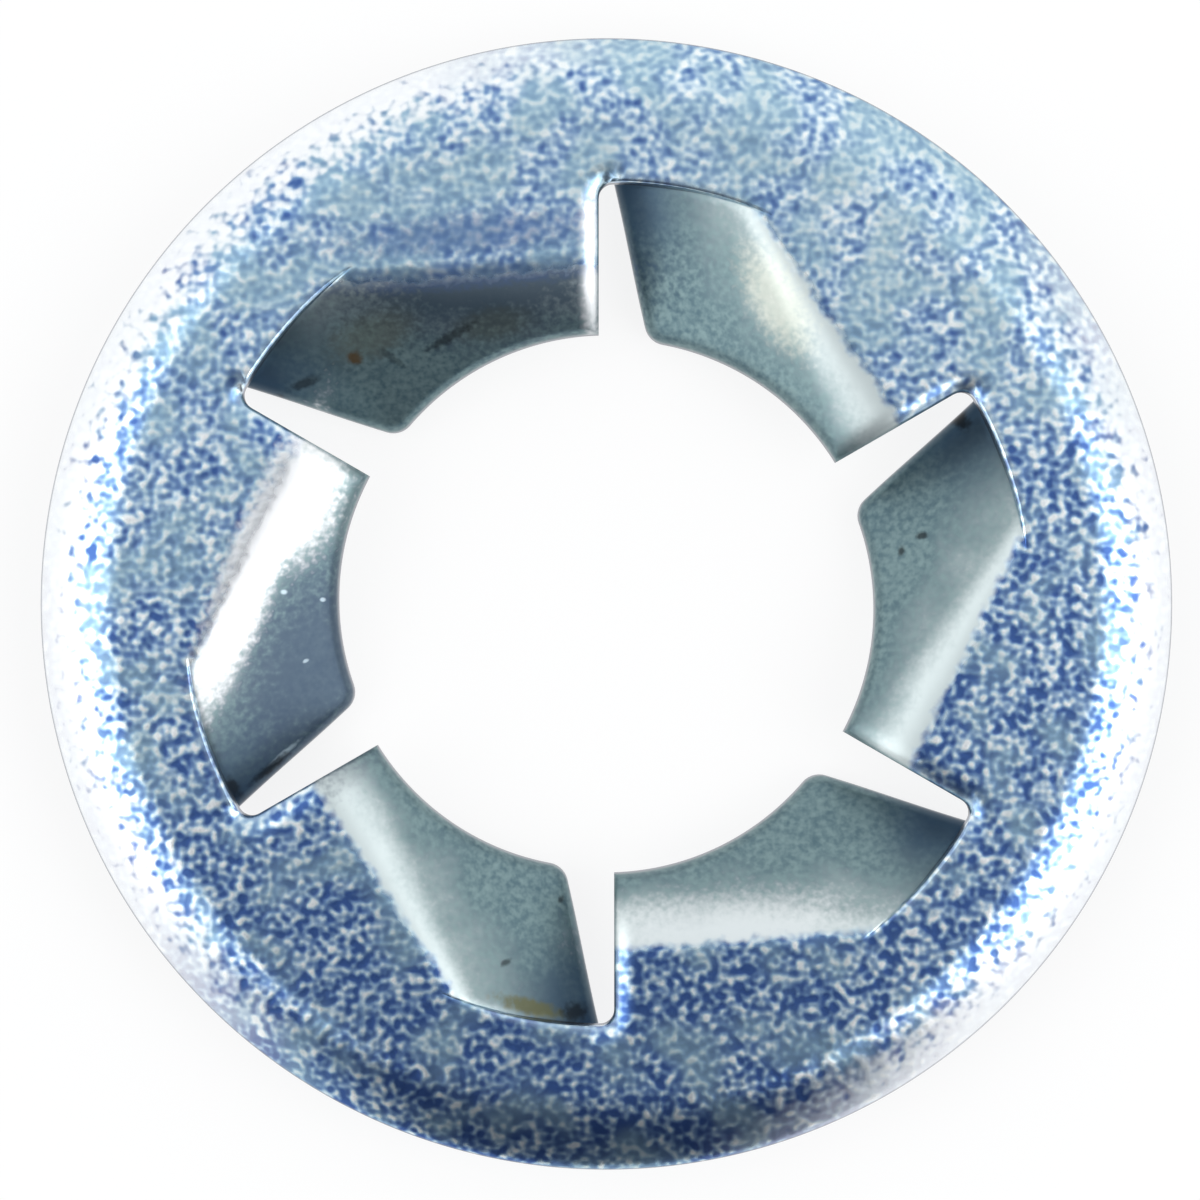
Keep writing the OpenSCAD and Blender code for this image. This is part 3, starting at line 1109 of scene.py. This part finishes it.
class NUT_OT_stage(bpy.types.Operator):
    """Set the table, the camera and the light"""

    bl_idname = "push_on_nut.stage"
    bl_label = "Set the stage"

    def execute(self, context):
        look = context.scene.nut_stage
        half = look.table_w / 2
        corners = [(-half, -half, 0), (half, -half, 0), (half, half, 0), (-half, half, 0)]
        mesh = bpy.data.meshes.new("table")
        mesh.from_pydata(corners, [], [(0, 1, 2, 3)])
        mesh.materials.append(table_white(look))
        table = bpy.data.objects.new("table", mesh)
        context.scene.collection.objects.link(table)

        lens = bpy.data.cameras.new("camera")
        lens.sensor_width = SENSOR_W
        lens.lens = lens.sensor_width * look.camera_up / look.frame_w
        lens.clip_start = NEAREST
        lens.clip_end = FARTHEST
        camera = bpy.data.objects.new("camera", lens)
        camera.location = (look.aim_x, look.aim_y, FACE_Z + look.camera_up)
        context.scene.collection.objects.link(camera)
        context.scene.camera = camera

        for row in PANELS:
            panel(*row)
        context.scene.world = tent(look)
        context.scene.view_settings.view_transform = "Standard"
        return {"FINISHED"}


class NUT_PT_panel(bpy.types.Panel):
    """Sizes, finish and stage of the push-on nut"""

    bl_label = "Push-on nut"
    bl_idname = "NUT_PT_panel"
    bl_space_type = "VIEW_3D"
    bl_region_type = "UI"
    bl_category = "Push-on nut"

    def draw(self, context):
        for group in (context.scene.nut_sizes, context.scene.nut_finish, context.scene.nut_stage):
            box = self.layout.box()
            for name in group.__annotations__:
                box.prop(group, name)
        self.layout.operator(NUT_OT_press.bl_idname)
        self.layout.operator(NUT_OT_stage.bl_idname)


CLASSES = (NutSizes, NutFinish, StageLook, NUT_OT_press, NUT_OT_stage, NUT_PT_panel)


def register():
    """Adds the classes, and their properties to the scene."""
    for made in CLASSES:
        bpy.utils.register_class(made)
    bpy.types.Scene.nut_sizes = PointerProperty(type=NutSizes)
    bpy.types.Scene.nut_finish = PointerProperty(type=NutFinish)
    bpy.types.Scene.nut_stage = PointerProperty(type=StageLook)


def unregister():
    """Takes the properties and the classes away again."""
    del bpy.types.Scene.nut_stage
    del bpy.types.Scene.nut_finish
    del bpy.types.Scene.nut_sizes
    for made in reversed(CLASSES):
        bpy.utils.unregister_class(made)


def main():
    """Makes the nut and its stage."""
    register()
    bpy.ops.push_on_nut.press()
    bpy.ops.push_on_nut.stage()


if __name__ == "__main__":
    main()
